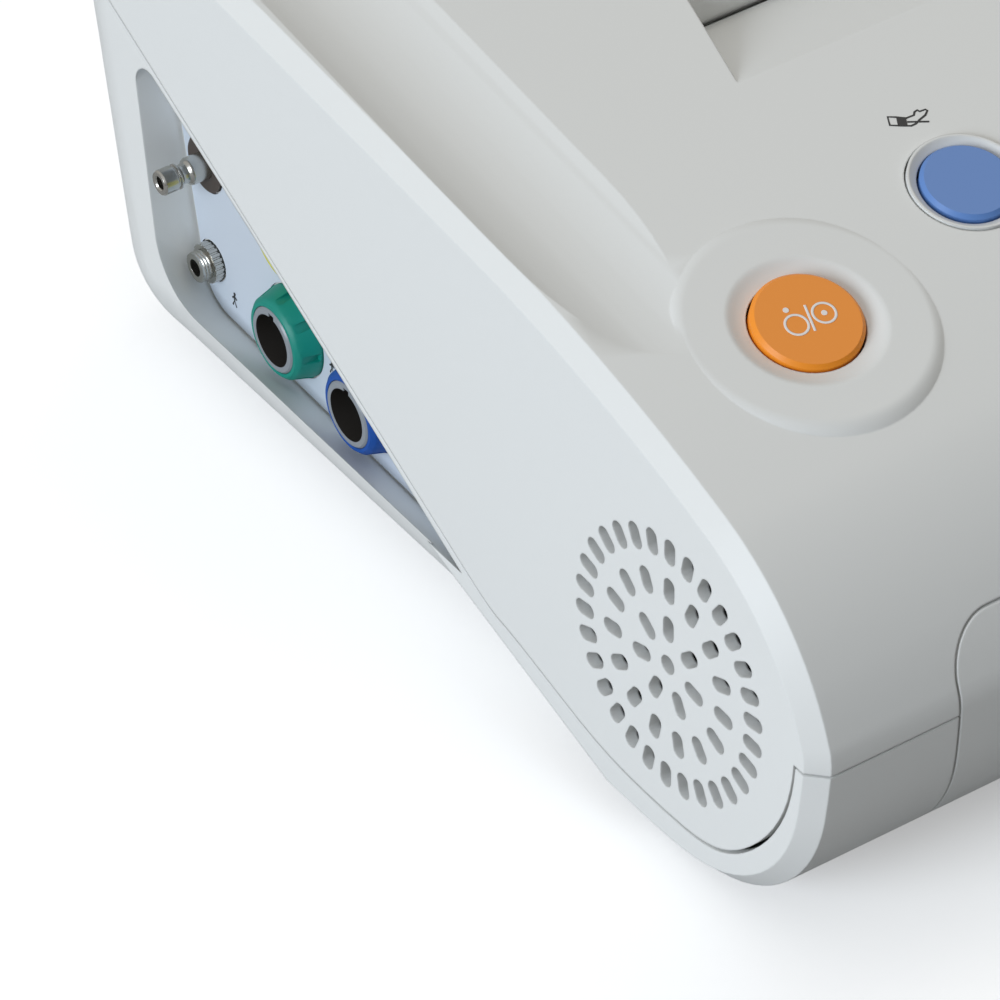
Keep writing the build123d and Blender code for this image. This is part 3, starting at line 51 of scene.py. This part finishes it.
class Wire:
    # a socket on its way through a material, so that shader maths reads as plain sums
    def __init__(self, tree, socket=None):
        self.tree = tree
        self.socket = socket

    def add(self, kind, settings, sockets, output=0):
        made = self.tree.nodes.new(kind)
        for name, value in settings.items():
            if name == "stops":
                stops = made.color_ramp.elements
                for stop, (place, shade) in zip(stops, value):
                    stop.position = place
                    stop.color = shade
            else:
                setattr(made, name, value)
        for name, value in sockets.items():
            if isinstance(value, Wire):
                self.tree.links.new(value.socket, made.inputs[name])
            else:
                made.inputs[name].default_value = value
        return Wire(self.tree, made.outputs[output])

    def maths(self, operation, *values):
        return self.add("ShaderNodeMath", {"operation": operation}, dict(enumerate(values)))

    def __add__(self, other):
        return self.maths("ADD", self, other)

    def __mul__(self, other):
        return self.maths("MULTIPLY", self, other)

    __radd__ = __add__
    __rmul__ = __mul__


def linear(red, green, blue):
    # a colour as the eye reads it, 0 to 255, as Blender's linear one
    parts = [part / 255 for part in (red, green, blue)]
    bent = [part / 12.92 if part < 0.04045 else ((part + 0.055) / 1.055) ** 2.4 for part in parts]
    return (*bent, 1)


# Each finish: its colour, its gloss, the size and strength of its grain, how far its edges are eased
finishes = {
    "caseWhite": {"colour": (232, 233, 231), "roughness": 0.46, "grainSize": 0.9, "grain": 0.03,
                  "ease": 0.5},
    "overlayBlue": {"colour": (206, 215, 226), "roughness": 0.4, "grainSize": 0.4, "grain": 0.02},
    "collarGreen": {"colour": (0, 140, 124), "roughness": 0.48, "grainSize": 1.2, "grain": 0.03,
                    "ease": 0.25},
    "collarBlue": {"colour": (0, 76, 162), "roughness": 0.48, "grainSize": 1.2, "grain": 0.03,
                   "ease": 0.25},
    "collarYellow": {"colour": (226, 220, 62), "roughness": 0.36, "grainSize": 1.2, "grain": 0.03,
                     "ease": 0.25},
    "socketGrey": {"colour": (142, 148, 154), "roughness": 0.3, "ease": 0.15},
    # painted shade: a dark colour for the inside of the socket bores
    "boreDark": {"colour": (50, 47, 44), "roughness": 0.35},
    "insertBlack": {"colour": (16, 16, 18), "roughness": 0.22, "ease": 0.1},
    "nickel": {"colour": (196, 194, 188), "roughness": 0.24, "metallic": 1, "grainSize": 0.3, "grain": 0.03,
               "ease": 0.1},
    "washerBrown": {"colour": (72, 62, 56), "roughness": 0.5, "ease": 0.1},
    "steel": {"colour": (176, 178, 180), "roughness": 0.38, "metallic": 1, "grainSize": 0.5, "grain": 0.04},
    "aluminium": {"colour": (190, 192, 194), "roughness": 0.45, "metallic": 1, "grainSize": 0.5,
                  "grain": 0.04},
    "brass": {"colour": (196, 168, 104), "roughness": 0.35, "metallic": 1, "grainSize": 0.5, "grain": 0.03},
    "ferrite": {"colour": (52, 52, 54), "roughness": 0.7, "grainSize": 1.0, "grain": 0.1},
    "blackSteel": {"colour": (34, 34, 36), "roughness": 0.5, "ease": 0.2},
    "paperBlack": {"colour": (30, 30, 30), "roughness": 0.85, "grainSize": 0.6, "grain": 0.1},
    "keyOrange": {"colour": (252, 152, 38), "roughness": 0.42, "grainSize": 0.5, "grain": 0.02},
    "keyBlue": {"colour": (100, 142, 208), "roughness": 0.42, "grainSize": 0.5, "grain": 0.02},
    "keyGrey": {"colour": (150, 156, 160), "roughness": 0.42, "grainSize": 0.5, "grain": 0.02},
    "boardGreen": {"colour": (34, 92, 58), "roughness": 0.4, "ease": 0.1},
    "rubber": {"colour": (38, 38, 38), "roughness": 0.8, "grainSize": 0.6, "grain": 0.12},
    "gearWhite": {"colour": (228, 226, 214), "roughness": 0.5, "ease": 0.1},
    "paperWhite": {"colour": (238, 236, 228), "roughness": 0.85, "grainSize": 0.4, "grain": 0.03},
    "blackPlastic": {"colour": (26, 26, 27), "roughness": 0.45, "grainSize": 0.7, "grain": 0.04,
                     "ease": 0.2},
    "glossBlack": {"colour": (20, 20, 21), "roughness": 0.2, "ease": 0.2},
    "screenGlass": {"colour": (22, 26, 30), "roughness": 0.08, "ease": 0.2},
    # painted shade: a dark grey for the overlay's cut edges, standing in for the shade in the gap round it
    "edgeGrey": {"colour": (84, 92, 98), "roughness": 0.6},
    "signWhite": {"colour": (244, 240, 236), "roughness": 0.5},
    "signBlack": {"colour": (40, 40, 42), "roughness": 0.5},
}
surface = {"easeSamples": 6, "grainDetail": 2.0, "grainHeight": 0.2}
materials = {}


def makeFinish(name, look):
    material = bpy.data.materials.new(name)
    material.use_nodes = True
    wire = Wire(material.node_tree)
    shader = material.node_tree.nodes["Principled BSDF"]
    shader.inputs["Base Color"].default_value = linear(*look["colour"])
    shader.inputs["Roughness"].default_value = look["roughness"]
    shader.inputs["Metallic"].default_value = look.get("metallic", 0)
    normal = None
    if "ease" in look:
        normal = wire.add("ShaderNodeBevel", {"samples": surface["easeSamples"]},
                          {"Radius": look["ease"] * mm})
    if "grain" in look:
        place = wire.add("ShaderNodeTexCoord", {}, {}, 3)
        fineness = 1 / (look["grainSize"] * mm)
        speckle = wire.add("ShaderNodeTexNoise", {}, {"Vector": place, "Scale": fineness,
                                                      "Detail": surface["grainDetail"]})
        sockets = {"Height": speckle, "Strength": look["grain"], "Distance": surface["grainHeight"] * mm}
        if normal:
            sockets["Normal"] = normal
        normal = wire.add("ShaderNodeBump", {}, sockets)
    if normal:
        wire.tree.links.new(normal.socket, shader.inputs["Normal"])
    materials[name] = material


for name, look in finishes.items():
    makeFinish(name, look)
print("finishes made:", len(materials))


def deselect():
    bpy.ops.object.select_all(action="DESELECT")


def activate(piece):
    deselect()
    piece.select_set(True)
    bpy.context.view_layer.objects.active = piece


def camel(name):
    first, *rest = name.split("_")
    return first + "".join(word.capitalize() for word in rest)


def settle(piece, body, finish):
    piece.data.materials.clear()
    piece.data.materials.append(materials[finish])
    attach(piece, body)
    return piece


bodyOf = {name: body for body, names in frame["record"]["behaviour"]["bodies"].items() for name in names}
mergeGap = 0.002


def bareCopy(name):
    # a merged copy of a CAD node without its stored normals, free to be worked on
    piece = bpy.data.objects.new(camel(name), nodes[name].data.copy())
    bpy.context.scene.collection.objects.link(piece)
    activate(piece)
    bpy.ops.mesh.customdata_custom_splitnormals_clear()
    bpy.ops.object.mode_set(mode="EDIT")
    bpy.ops.mesh.select_all(action="SELECT")
    bpy.ops.mesh.remove_doubles(threshold=mergeGap * mm)
    bpy.ops.object.mode_set(mode="OBJECT")
    return piece


def smooth(piece, angle):
    activate(piece)
    bpy.ops.object.shade_smooth_by_angle(angle=radians(angle))
    weigh = piece.modifiers.new("weigh", "WEIGHTED_NORMAL")
    weigh.keep_sharp = True
    bpy.ops.object.modifier_apply(modifier=weigh.name)


def dress(name, finish, angle=20, flatness=0):
    # a copy, shaded smooth up to an angle, stands for the node; nearly flat facets are joined first
    piece = bareCopy(name)
    if flatness:
        bpy.ops.object.mode_set(mode="EDIT")
        bpy.ops.mesh.dissolve_limited(angle_limit=radians(flatness))
        bpy.ops.object.mode_set(mode="OBJECT")
    smooth(piece, angle)
    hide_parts(name)
    return settle(piece, bodyOf[name], finish)


# Each node's finish, the angle up to which its facets run together and the one up to which they are joined
dressed = {
    "upper_case": ("caseWhite", 16, 0.3), "lower_case": ("caseWhite", 16, 0.3),
    "printer_door": ("caseWhite", 16), "connector_panel": ("overlayBlue", 20),
    "blue_collar": ("collarBlue", 30), "green_collar": ("collarGreen", 30),
    "yellow_collar": ("collarYellow", 30), "blue_socket": ("socketGrey", 30),
    "green_socket": ("socketGrey", 30), "yellow_socket": ("socketGrey", 30),
    "blue_insert": ("insertBlack", 30), "green_insert": ("insertBlack", 30),
    "yellow_insert": ("insertBlack", 30), "marker_jack": ("nickel", 30), "jack_nut": ("nickel", 30),
    "nipple_flange": ("washerBrown", 30), "speaker_basket": ("blackSteel", 30),
    "speaker_cone": ("paperBlack", 30), "speaker_magnet": ("ferrite", 30),
    "start_key": ("keyOrange", 30), "feed_key": ("keyGrey", 30), "zero_key": ("keyBlue", 30),
    "mark_key": ("keyBlue", 30), "volume_key": ("keyBlue", 30),
    "zero_key_bezel": ("caseWhite", 30), "mark_key_bezel": ("caseWhite", 30),
    "volume_key_bezel": ("caseWhite", 30), "key_board": ("boardGreen", 30),
    "display_housing": ("caseWhite", 20), "display_lens": ("screenGlass", 20),
    "display_pins": ("steel", 30), "door_pins": ("steel", 30), "printer_chassis": ("steel", 20),
    "platen_roller": ("rubber", 30), "platen_shaft": ("steel", 30), "platen_gear": ("gearWhite", 30),
    "motor_pinion": ("brass", 30), "motor_shaft": ("steel", 30), "feed_motor": ("blackSteel", 30),
    "print_head": ("aluminium", 20), "tear_bar": ("steel", 20), "paper_pack": ("paperWhite", 20),
    "main_board": ("boardGreen", 20), "power_supply": ("steel", 20), "mains_inlet": ("blackPlastic", 20),
    "inlet_blades": ("brass", 20), "switch_frame": ("blackPlastic", 20), "power_rocker": ("glossBlack", 20),
    "rocker_pin": ("steel", 30), "earth_stud": ("brass", 30), "data_ports": ("nickel", 20),
    "feet": ("rubber", 30), "case_screws": ("steel", 30),
}
pieces = {name: dress(name, *look) for name, look in dressed.items()}
print("nodes dressed:", len(pieces))

mounts = {mount["name"]: mount for mount in frame["record"]["mounts"]}
joints = {joint["name"]: joint for joint in frame["record"]["behaviour"]["joints"]}
# Painted shade for the socket bores: its dark colour and the slack beyond the bore's radius
paintedBoreShade = {"finish": "boreDark", "slack": 0.1}


def lineBore(name, mount):
    # painted shade: the faces inside a socket's bore take a dark colour that stands in for the shade inside
    # the bore
    piece = pieces[name]
    middle, axis = Vector(mounts[mount]["pos_m"]), Vector(mounts[mount]["axis"])
    reach = (mounts[mount]["dims"]["r_mm"] + paintedBoreShade["slack"]) * mm
    piece.data.materials.append(materials[paintedBoreShade["finish"]])
    for face in piece.data.polygons:
        spans = [piece.data.vertices[corner].co - middle for corner in face.vertices]
        if all((span - axis * span.dot(axis)).length < reach for span in spans):
            face.material_index = 1


for colour in ("blue", "green", "yellow"):
    lineBore(colour + "_socket", colour + "_socket_bore")

# Painted shade: the overlay's cut edges are coloured dark, standing in for the shade in the gap round the
# overlay
overlayGapShade = {"finish": "edgeGrey", "steepness": 0.5}
overlay = pieces["connector_panel"]
overlay.data.materials.append(materials[overlayGapShade["finish"]])
for face in overlay.data.polygons:
    if abs(face.normal.x) < overlayGapShade["steepness"]:
        face.material_index = 1
# painted shade is now in the bores and on the overlay's cut edges
print("bores lined")


# Printed signs: the thickness of filled shapes and of lines, their lift off the surface, widths of lines
signs = {"fill": 0.03, "flatness": 0.12, "lift": 0.04, "line": 0.5, "fineLine": 0.42, "roundness": 2,
         "ringSteps": 48, "capDepth": 0.05}


def figure(points, width=0, closed=True):
    # a printed line of that width, or a filled shape where no width is given, on the XY plane
    data = bpy.data.curves.new("figure", "CURVE")
    line = data.splines.new("POLY")
    line.points.add(len(points) - 1)
    for point, (across, up) in zip(line.points, points):
        point.co = (across * mm, up * mm, 0, 1)
    line.use_cyclic_u = closed
    if width:
        data.dimensions = "3D"
        data.bevel_depth = width / 2 * mm
        data.bevel_resolution = signs["roundness"]
        data.use_fill_caps = True
    else:
        data.dimensions = "2D"
        data.fill_mode = "BOTH"
        data.extrude = signs["fill"] * mm
    piece = bpy.data.objects.new("figure", data)
    bpy.context.scene.collection.objects.link(piece)
    activate(piece)
    bpy.ops.object.convert(target="MESH")
    piece = bpy.context.active_object
    if width:
        piece.data.transform(Matrix.Scale(signs["flatness"], 4, (0, 0, 1)))
    return piece


def ring(across, up, radius, count=signs["ringSteps"]):
    turns = [2 * pi * step / count for step in range(count)]
    return [(across + radius * cos(turn), up + radius * sin(turn)) for turn in turns]


def seatMatrix(spot, right, out):
    # the frame of a flat place whose outward direction is known
    out = out.normalized()
    up = out.cross(right).normalized()
    right = up.cross(out)
    return Matrix((right.resized(4), up.resized(4), out.resized(4), spot.to_4d())).transposed()


def printSign(name, figures, seat, carrier, finish):
    deselect()
    for part in figures:
        part.select_set(True)
    bpy.context.view_layer.objects.active = figures[0]
    if len(figures) > 1:
        bpy.ops.object.join()
    sign = bpy.context.active_object
    sign.name = name
    for row in (0, 1, 2):
        seat[row][3] += seat[row][2] * signs["lift"] * mm
    sign.data.transform(seat)
    return settle(sign, bodyOf[carrier], finish)


def capSeat(name):
    # the middle of a key's cap, square to the way it is pressed
    out = -Vector(joints[name.replace("_key", "_press")]["axis"])
    right = Vector((1, 0, 0))
    up = out.cross(right)
    corners = [corner.co for corner in pieces[name].data.vertices]
    level = max(corner.dot(out) for corner in corners)
    cap = [corner for corner in corners if corner.dot(out) > level - signs["capDepth"] * mm]
    middle = [(min(corner.dot(way) for corner in cap) + max(corner.dot(way) for corner in cap)) / 2
              for way in (right, up)]
    return seatMatrix(right * middle[0] + up * middle[1] + out * level, right, out)


# Orange key: a dot over a ring, a slanted bar and a ring round a dot
startSign = {"ringRadius": 2.1, "leftRing": (-2.55, -0.1), "rightRing": (3.25, -0.1),
             "leftDot": (-2.55, 3.35), "dotRadius": 0.55, "bar": [(1.05, 2.8), (-0.35, -2.6)]}
strokes = [figure(ring(*startSign[side], startSign["ringRadius"]), signs["line"])
           for side in ("leftRing", "rightRing")]
strokes += [figure(ring(*startSign[spot], startSign["dotRadius"])) for spot in ("leftDot", "rightRing")]
strokes.append(figure(startSign["bar"], signs["line"], closed=False))
printSign("startSign", strokes, capSeat("start_key"), "start_key", "signWhite")

# Sleeved hand beside the first blue key, printed on the top
handSign = {"place": (-0.1, 17.7, 5.0), "turn": -27.2,
            "outline": [(-3.65, 0.44), (-2.2, 0.3), (-0.34, 0.0), (1.13, 0.68), (1.35, 1.47), (1.91, 1.91),
                        (2.3, 1.56), (3.38, 2.03), (3.71, 1.71), (3.15, 0.59), (2.03, -0.44), (1.13, -1.47),
                        (0.23, -1.97), (-1.8, -1.85), (-3.56, -1.68)],
            "cuff": [(-2.14, 0.24), (-0.4, 0.0), (-0.4, -1.9), (-2.14, -1.85)],
            "line": [(-0.34, -0.97), (3.6, -1.03)]}
keySeat = capSeat("zero_key")
probe = keySeat @ (Vector(handSign["place"]) * mm)
spot, out = pieces["upper_case"].ray_cast(probe, -Vector(keySeat.col[2][:3]))[1:3]
handSeat = seatMatrix(spot, Vector((1, 0, 0)), out) @ Matrix.Rotation(radians(handSign["turn"]), 4, "Z")
strokes = [figure(handSign["outline"], signs["fineLine"]), figure(handSign["cuff"]),
           figure(handSign["line"], signs["fineLine"], closed=False)]
printSign("handSign", strokes, handSeat, "upper_case", "signBlack")

# Two small walking figures on the overlay, one behind and one in front of the green socket
walkerSign = {"places": [(21.1, -7.1), (-12.2, -0.4)], "headRadius": 0.36, "headSteps": 16,
              "head": (0.05, 1.35), "body": [(0, 0.95), (0.0, -0.2)],
              "arms": [(-0.75, 0.1), (0, 0.8), (0.8, 0.3)], "legs": [(-0.6, -1.5), (0, -0.2), (0.65, -1.5)]}
greenMouth = Vector(mounts["green_socket_bore"]["pos_m"])
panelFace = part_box("connector_panel")[0][0]
for count, (back, up) in enumerate(walkerSign["places"]):
    spot = Vector((panelFace, greenMouth.y + back * mm, greenMouth.z + up * mm))
    strokes = [figure(ring(*walkerSign["head"], walkerSign["headRadius"], walkerSign["headSteps"])),
               figure(walkerSign["body"], signs["line"], closed=False),
               figure(walkerSign["arms"], signs["fineLine"], closed=False),
               figure(walkerSign["legs"], signs["fineLine"], closed=False)]
    printSign("walkerSign" + str(count), strokes, seatMatrix(spot, Vector((0, -1, 0)), Vector((-1, 0, 0))),
              "connector_panel", "signBlack")
print("signs printed")

turnedAngle = 30


def lathe(name, outline, seat, steps, rise=0, turns=1):
    # an open outline of (radius, height) turned round the seat's outward axis, or along a helix
    profile = bpy.data.meshes.new(name)
    profile.from_pydata([(radius * mm, 0, height * mm) for radius, height in outline],
                        [(count, count + 1) for count in range(len(outline) - 1)], [])
    piece = bpy.data.objects.new(name, profile)
    bpy.context.scene.collection.objects.link(piece)
    activate(piece)
    turned = piece.modifiers.new("turned", "SCREW")
    turned.screw_offset = rise * mm
    turned.iterations = turns
    turned.steps = turned.render_steps = steps
    turned.use_merge_vertices = rise == 0
    turned.merge_threshold = mergeGap * mm
    bpy.ops.object.modifier_apply(modifier=turned.name)
    piece.data.transform(seat)
    bpy.ops.object.mode_set(mode="EDIT")
    bpy.ops.mesh.select_all(action="SELECT")
    bpy.ops.mesh.normals_make_consistent(inside=False)
    bpy.ops.object.mode_set(mode="OBJECT")
    smooth(piece, turnedAngle)
    return piece


# Turned hose nipple: shank, concave neck, snap ring, tip with a round mouth
nipple = {"tail": -12.0, "bore": 1.3, "steps": 48,
          "turning": [(2.7, 4.2), (2.5, 4.6), (2.05, 5.0), (1.9, 5.6), (1.95, 6.2), (2.3, 6.6), (2.5, 6.7),
                      (2.5, 7.0), (2.2, 7.15), (2.2, 7.4), (2.45, 7.6), (2.5, 7.8), (2.5, 10.2),
                      (2.25, 10.6), (1.55, 10.6), (1.3, 10.3)]}
nippleOut = Vector(mounts["hose_nipple"]["axis"])
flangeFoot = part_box("nipple_flange")[1][0]
nippleSpot = Vector((flangeFoot, mounts["hose_nipple"]["pos_m"][1], mounts["hose_nipple"]["pos_m"][2]))
nippleSeat = seatMatrix(nippleSpot, Vector((0, -1, 0)), nippleOut)
shank = nipple["turning"][0][0]
outline = [(shank, nipple["tail"])] + nipple["turning"] + [(nipple["bore"], nipple["tail"])]
hoseNipple = lathe("hoseNipple", outline + outline[:1], nippleSeat, nipple["steps"])
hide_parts("hose_nipple")
settle(hoseNipple, bodyOf["hose_nipple"], "nickel")
print("nipple turned")

# Thread on the marker jack's barrel, between its nut and its mouth
thread = {"radius": 2.85, "crest": 0.2, "halfWidth": 0.24, "pitch": 0.6, "turns": 3, "steps": 40,
          "start": 2.7}
jack = mounts["marker_jack_bore"]
jackOut = Vector(jack["axis"])
nutFoot = Vector((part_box("jack_nut")[1][0], jack["pos_m"][1], jack["pos_m"][2]))
jackSeat = seatMatrix(nutFoot + jackOut * thread["start"] * mm, Vector((0, -1, 0)), jackOut)
outline = [(thread["radius"], -thread["halfWidth"]), (thread["radius"] + thread["crest"], 0),
           (thread["radius"], thread["halfWidth"])]
jackThread = lathe("jackThread", outline, jackSeat, thread["steps"], thread["pitch"], thread["turns"])
settle(jackThread, bodyOf["marker_jack"], "nickel")
print("thread cut")

# Pale floor, a cool lamp from the left, a warm one from above and a dim room in front
stage = {"floorSize": 6.0, "floorShade": (176, 176, 176), "floorRoughness": 0.9, "floorGlow": 0.33,
         "floorKeep": 0.98, "roomAbove": (240, 240, 238), "roomBelow": (50, 51, 52), "roomStrength": 0.6,
         "roomLean": (-0.35, 0.55, 0.75), "roomStart": 0.2, "roomEnd": 0.85,
         "cameraPlace": (-0.6659, -0.8229, 0.8794), "cameraTilt": 48.8, "cameraTurn": -34.2, "lens": 259.2,
         "sensor": 36, "near": 0.05, "far": 20}
lamps = {"sideLamp": {"place": (-1.9, -0.35, 0.8), "size": 0.9, "power": 24.5, "shade": (236, 245, 255)},
         "topLamp": {"place": (0.9, 0.5, 1.7), "size": 1.0, "power": 5.0, "shade": (255, 248, 236)}}

deselect()
bpy.ops.mesh.primitive_plane_add(size=stage["floorSize"], location=(0, 0, 0))
floor = bpy.context.active_object
floor.name = "floor"
paper = bpy.data.materials.new("floorPaper")
paper.use_nodes = True
wire = Wire(paper.node_tree)
ground = paper.node_tree.nodes["Principled BSDF"]
ground.inputs["Base Color"].default_value = linear(*stage["floorShade"])
ground.inputs["Roughness"].default_value = stage["floorRoughness"]
ray = wire.add("ShaderNodeLightPath", {}, {}, 0)
dimmed = wire.add("ShaderNodeBsdfDiffuse", {}, {"Color": (stage["floorKeep"],) * 3 + (1,)})
glow = wire.add("ShaderNodeEmission", {}, {"Color": (1, 1, 1, 1), "Strength": stage["floorGlow"]})
seen = wire.add("ShaderNodeAddShader", {}, {0: dimmed, 1: glow})
mixed = wire.add("ShaderNodeMixShader", {}, {0: ray, 1: Wire(wire.tree, ground.outputs[0]), 2: seen})
wire.tree.links.new(mixed.socket, paper.node_tree.nodes["Material Output"].inputs["Surface"])
floor.data.materials.append(paper)

world = bpy.data.worlds.new("studio")
bpy.context.scene.world = world
world.use_nodes = True
wire = Wire(world.node_tree)
sky = world.node_tree.nodes["Background"]
place = wire.add("ShaderNodeTexCoord", {}, {}, 0)
lean = wire.add("ShaderNodeVectorMath", {"operation": "DOT_PRODUCT"}, {0: place, 1: stage["roomLean"]}, 1)
stops = [(stage["roomStart"], linear(*stage["roomBelow"])), (stage["roomEnd"], linear(*stage["roomAbove"]))]
ramp = wire.add("ShaderNodeValToRGB", {"stops": stops}, {"Fac": lean * 0.5 + 0.5})
wire.tree.links.new(ramp.socket, sky.inputs["Color"])
sky.inputs["Strength"].default_value = stage["roomStrength"]
ray = wire.add("ShaderNodeLightPath", {}, {}, 0)
white = wire.add("ShaderNodeBackground", {}, {"Color": (1, 1, 1, 1), "Strength": 1.0})
mixed = wire.add("ShaderNodeMixShader", {}, {0: ray, 1: Wire(wire.tree, sky.outputs[0]), 2: white})
wire.tree.links.new(mixed.socket, world.node_tree.nodes["World Output"].inputs["Surface"])

for name, look in lamps.items():
    deselect()
    bpy.ops.object.light_add(type="AREA", location=look["place"])
    lamp = bpy.context.active_object
    lamp.name = name
    lamp.data.size = look["size"]
    lamp.data.energy = look["power"]
    lamp.data.color = linear(*look["shade"])[:3]
    lamp.rotation_euler = (-Vector(look["place"])).to_track_quat("-Z", "Y").to_euler()

deselect()
bpy.ops.object.camera_add(location=stage["cameraPlace"],
                          rotation=(radians(stage["cameraTilt"]), 0, radians(stage["cameraTurn"])))
camera = bpy.context.active_object
camera.name = "camera"
camera.data.sensor_width = stage["sensor"]
camera.data.lens = stage["lens"]
camera.data.clip_start = stage["near"]
camera.data.clip_end = stage["far"]
bpy.context.scene.camera = camera
bpy.context.scene.view_settings.view_transform = "Standard"
print("stage set")
